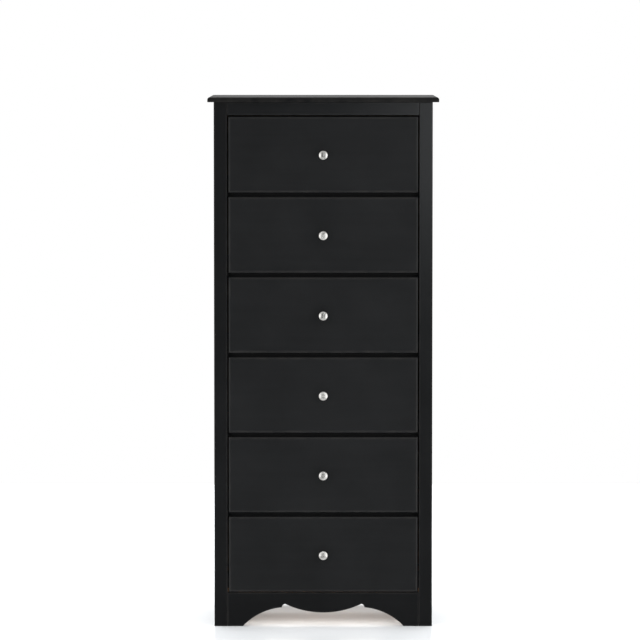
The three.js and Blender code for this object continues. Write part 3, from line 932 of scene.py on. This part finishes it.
def add_runner(number, word, side):
    """A folded runner on one side of a box, with its screws."""
    body = f"drawer_{number}"
    low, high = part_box(f"{body}_{word}_side")
    face = side_face(number, word, side)
    bottom, top = low.z - MEMBER_WALL - MEMBER_SLACK, low.z + MEMBER_TOP
    wall_in, wall_out = MEMBER_GAP, MEMBER_GAP + MEMBER_WALL
    outline = [
        (-MEMBER_LIP, bottom), (wall_out, bottom), (wall_out, top - MEMBER_WALL),
        (MEMBER_REACH, top - MEMBER_WALL), (MEMBER_REACH, top), (wall_in, top),
        (wall_in, bottom + MEMBER_WALL), (-MEMBER_LIP, bottom + MEMBER_WALL),
    ]
    points = [(face + side * distance, z) for distance, z in outline]
    start, stop = low.y + MEMBER_END_GAP, high.y - MEMBER_END_GAP
    strip = drawn_out(points, (start, stop), MEMBER_EASE, FINE_EASE_STEPS)
    add_piece(f"{body}_{word}_runner", strip, STEEL, body)
    heads = []
    for share in RUNNER_SCREW_SHARES:
        place = Vector((face + side * wall_out, start + (stop - start) * share,
                        low.z + RUNNER_SCREW_RISE))
        heads.append(pan_head(place, (side, 0, 0), SLIDE_SCREW_RADIUS, RUNNER_SCREW_HEIGHT))
    add_piece(f"{body}_{word}_runner_screws", heads, SCREW, body)


def add_runner_wheel(number, word, side):
    """The wheel at a runner's rear end, on its axle."""
    body = f"drawer_{number}"
    low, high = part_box(f"{body}_{word}_side")
    face = side_face(number, word, side)
    y, z = high.y - ROLLER_INSET, low.z - ROLLER_DROP + ROLLER_RADIUS
    middle = face + side * (ROLLER_LOW_X + ROLLER_HIGH_X) / 2
    add_piece(f"{body}_{word}_wheel", roller(middle, y, z, side, ROLLER_RADIUS), NYLON, body)
    inner, outer = face + side * (MEMBER_GAP + MEMBER_WALL), face + side * ROLLER_HIGH_X
    add_piece(f"{body}_{word}_wheel_axle", axle(inner, outer, y, z, side), SCREW, body)


def add_cabinet_slides(number):
    """The CAD's channels, with the wheel at the front end and the bracket screws."""
    for word, side in SIDES:
        finish_cad_node(f"{word}_slide_{number}", STEEL, CHANNEL_EASE)
        add_cabinet_wheel(number, word, side)
        add_bracket_screws(number, word, side)


def add_cabinet_wheel(number, word, side):
    """The wheel that the running flange of a drawer's runner rolls on."""
    name = f"{word}_slide_{number}"
    face = side_face(number, word, side)
    flange_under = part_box(f"drawer_{number}_{word}_side")[0].z + MEMBER_TOP - MEMBER_WALL
    y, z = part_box(name)[0].y + ROLLER_INSET, flange_under - ROLLER_SLACK - FRONT_ROLLER_RADIUS
    middle = face + side * (ROLLER_LOW_X + ROLLER_HIGH_X) / 2
    add_piece(f"{name}_wheel", roller(middle, y, z, side, FRONT_ROLLER_RADIUS), NYLON, "carcass")
    wall = side * (OPENING_HALF - CHANNEL_WALL)
    head_end = face + side * (ROLLER_LOW_X - ROLLER_HEAD_GAP)
    add_piece(f"{name}_wheel_axle", axle(wall, head_end, y, z, -side), SCREW, "carcass")


def add_bracket_screws(number, word, side):
    """Two screws near each end of a channel, into the side panel."""
    low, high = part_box(f"{word}_slide_{number}")
    wall = high.x if side > 0 else low.x
    middle_z = (low.z + high.z) / 2
    heads = []
    for y in (low.y + BRACKET_SCREW_INSET, high.y - BRACKET_SCREW_INSET):
        for rise in (-BRACKET_SCREW_RISE, BRACKET_SCREW_RISE):
            place = Vector((wall - side * BRACKET_THICKNESS, y, middle_z + rise))
            heads.append(pan_head(place, (-side, 0, 0), SLIDE_SCREW_RADIUS, BRACKET_SCREW_HEIGHT))
    add_piece(f"{word}_slide_{number}_screws", heads, SCREW, "carcass")


KNOB_TURNS = (0, 72, 20, 90, 45, 70)  # degrees: each knob was screwed in to its own angle

add_top_board()
add_sides()
add_rail()
add_apron()
add_glue_blocks()
add_back()
add_inner_frame()
for drawer in range(1, DRAWERS + 1):
    add_front(drawer)
    add_knob(drawer, math.radians(KNOB_TURNS[drawer - 1]))
    add_box(drawer)
    add_drawer_members(drawer)
    add_cabinet_slides(drawer)


# ---------------------------------------------------------------- stage

CAMERA_DISTANCE = 10.0  # in front of the drawers
CAMERA_ABOVE_TOP = 0.148
CAMERA_OFFSET = -0.0078  # along X
AIM_HEIGHT = 0.7452
LENS = 233.3  # mm, on the 36 mm sensor
FAR_CLIP = 100


def add_camera():
    data = bpy.data.cameras.new("camera")
    data.lens = LENS
    data.clip_end = FAR_CLIP
    camera = bpy.data.objects.new("camera", data)
    bpy.context.scene.collection.objects.link(camera)
    camera.location = (CAMERA_OFFSET, FRONT_Y - CAMERA_DISTANCE, TOP[1].z + CAMERA_ABOVE_TOP)
    aim = Vector((CAMERA_OFFSET, FRONT_Y, AIM_HEIGHT)) - camera.location
    camera.rotation_euler = aim.to_track_quat("-Z", "Y").to_euler()
    bpy.context.scene.camera = camera


FRONT_GLOW, ROOM_GLOW = 0.02, 0.82
# The dim patch, in the parts of a direction: dim up to the first value, bright from the second
DIM_WIDTH = (0.15, 0.5)
DIM_HEIGHT = (0.27, 0.62)
DIM_END = (-0.75, -0.25)  # along Y, -1 being straight in front


def add_world():
    """White to the camera. As a light, a bright room with a dim patch on its front wall."""
    world = bpy.data.worlds.new("studio")
    bpy.context.scene.world = world
    world.use_nodes = True
    tree = world.node_tree
    tree.nodes.clear()

    def math_node(operation, first, second=None):
        node = tree.nodes.new("ShaderNodeMath")
        node.operation = operation
        tree.links.new(first, node.inputs[0])
        if second is not None:
            tree.links.new(second, node.inputs[1])
        return node.outputs[0]

    def smooth_step(value, span, stops=(0, 1)):
        node = tree.nodes.new("ShaderNodeMapRange")
        node.interpolation_type = "SMOOTHSTEP"
        tree.links.new(value, node.inputs["Value"])
        for key, number in zip(("From Min", "From Max", "To Min", "To Max"), (*span, *stops)):
            node.inputs[key].default_value = number
        return node.outputs[0]

    place = tree.nodes.new("ShaderNodeTexCoord")
    parts = tree.nodes.new("ShaderNodeSeparateXYZ")
    tree.links.new(place.outputs["Generated"], parts.inputs["Vector"])
    bright = smooth_step(parts.outputs["Y"], DIM_END)
    for axis, span in (("X", DIM_WIDTH), ("Z", DIM_HEIGHT)):
        aside = smooth_step(math_node("ABSOLUTE", parts.outputs[axis]), span)
        bright = math_node("MAXIMUM", bright, aside)
    seen = tree.nodes.new("ShaderNodeBackground")
    seen.inputs["Color"].default_value = (1, 1, 1, 1)
    lighting = tree.nodes.new("ShaderNodeBackground")
    tree.links.new(smooth_step(bright, (0, 1), (FRONT_GLOW, ROOM_GLOW)),
                   lighting.inputs["Strength"])
    rays = tree.nodes.new("ShaderNodeLightPath")
    mix = tree.nodes.new("ShaderNodeMixShader")
    tree.links.new(rays.outputs["Is Camera Ray"], mix.inputs["Fac"])
    tree.links.new(lighting.outputs[0], mix.inputs[1])
    tree.links.new(seen.outputs[0], mix.inputs[2])
    output = tree.nodes.new("ShaderNodeOutputWorld")
    tree.links.new(mix.outputs[0], output.inputs["Surface"])


FLOOR_HALF = 2.4
FLOOR_MIDDLE_Y = 0.6
FLOOR_DROP = 0.2 * MM  # below the feet
FLOOR_CELLS = 8
FLOOR_COLOUR = (0.9, 0.9, 0.905, 1)


def add_floor():
    """A plain pale sheet. Reflections in the chest see the world's glow in its place."""
    bm = bmesh.new()
    bmesh.ops.create_grid(bm, x_segments=FLOOR_CELLS, y_segments=FLOOR_CELLS, size=1)
    mesh = bpy.data.meshes.new("floor")
    bm.to_mesh(mesh)
    bm.free()
    floor = bpy.data.objects.new("floor", mesh)
    bpy.context.scene.collection.objects.link(floor)
    floor.scale = (FLOOR_HALF, FLOOR_HALF, 1)
    floor.location = (0, FLOOR_MIDDLE_Y, -FLOOR_DROP)
    s = Shader("studio_floor")
    cloud = s.noise(s.coordinates(), scale=3, detail=2)
    floor.data.materials.append(s.finish(
        Base_Color=FLOOR_COLOUR, Roughness=s.spread(cloud, 0.12, 0.15), Specular_IOR_Level=0.5))
    floor.visible_glossy = False


def add_light(name, place, aim, size, power, colour=(1, 1, 1), receivers=()):
    """A soft rectangular light. With receivers, it lights nothing else."""
    data = bpy.data.lights.new(name, "AREA")
    data.shape = "RECTANGLE"
    data.size, data.size_y = size
    data.energy = power
    data.color = colour
    light = bpy.data.objects.new(name, data)
    bpy.context.scene.collection.objects.link(light)
    light.location = place
    light.rotation_euler = (Vector(aim) - Vector(place)).to_track_quat("-Z", "Y").to_euler()
    light.visible_camera = False
    if receivers:
        group = bpy.data.collections.new(f"{name}_receivers")
        for receiver in receivers:
            group.objects.link(bpy.data.objects[receiver])
        light.light_linking.receiver_collection = group


COOL = (0.94, 0.975, 1.0)
WARM = (1.0, 0.97, 0.93)


def add_chest_lights():
    """Two large ones from the sides and three small ones for the front's own gradients."""
    side_height, aim_height = 0.75, 0.7
    add_light("front_low", place=(0.03, -2.4, 0.22), aim=(0.03, 0, 0.22), size=(0.4, 0.3),
              power=0.5, colour=COOL)
    add_light("front_high", place=(0.3, -2.4, 1.25), aim=(0.2, 0, 1.2), size=(0.3, 0.4),
              power=0.75, colour=COOL)
    for name, side, power in (("side_left", -1, 9), ("side_right", 1, 13)):
        add_light(name, place=(side * 1.7, -2.1, side_height), aim=(0, FRONT_Y, aim_height),
                  size=(1.2, 2.4), power=power)
    add_light("upper_right", place=(0.37, -1.0, 1.2), aim=(0.26, FRONT_Y, 1.18),
              size=(0.1, 0.5), power=1.6, colour=COOL, receivers=["right_stile", "top_rail"])


def add_floor_light(name, y, height, size, power, colour):
    """A light that looks straight down, and lights only the floor."""
    add_light(name, (0, y, height), (0, y, 0), size, power, colour, ["floor"])


def add_floor_lights():
    add_floor_light("floor_wash", y=0.2, height=3.0, size=(5.6, 5.6), power=290, colour=COOL)
    add_floor_light("back_wash", y=2.3, height=1.6, size=(4.6, 1.6), power=115, colour=COOL)
    add_floor_light("under_chest", y=0.0, height=0.078, size=(0.44, 0.3), power=0.22, colour=WARM)
    add_floor_light("under_front", y=-0.15, height=0.076, size=(0.42, 0.06), power=0.35,
                    colour=WARM)
    add_floor_light("before_feet", y=-0.25, height=0.09, size=(0.3, 0.07), power=0.06,
                    colour=COOL)


add_camera()
add_world()
add_floor()
add_chest_lights()
add_floor_lights()
bpy.context.scene.view_settings.view_transform = "Standard"
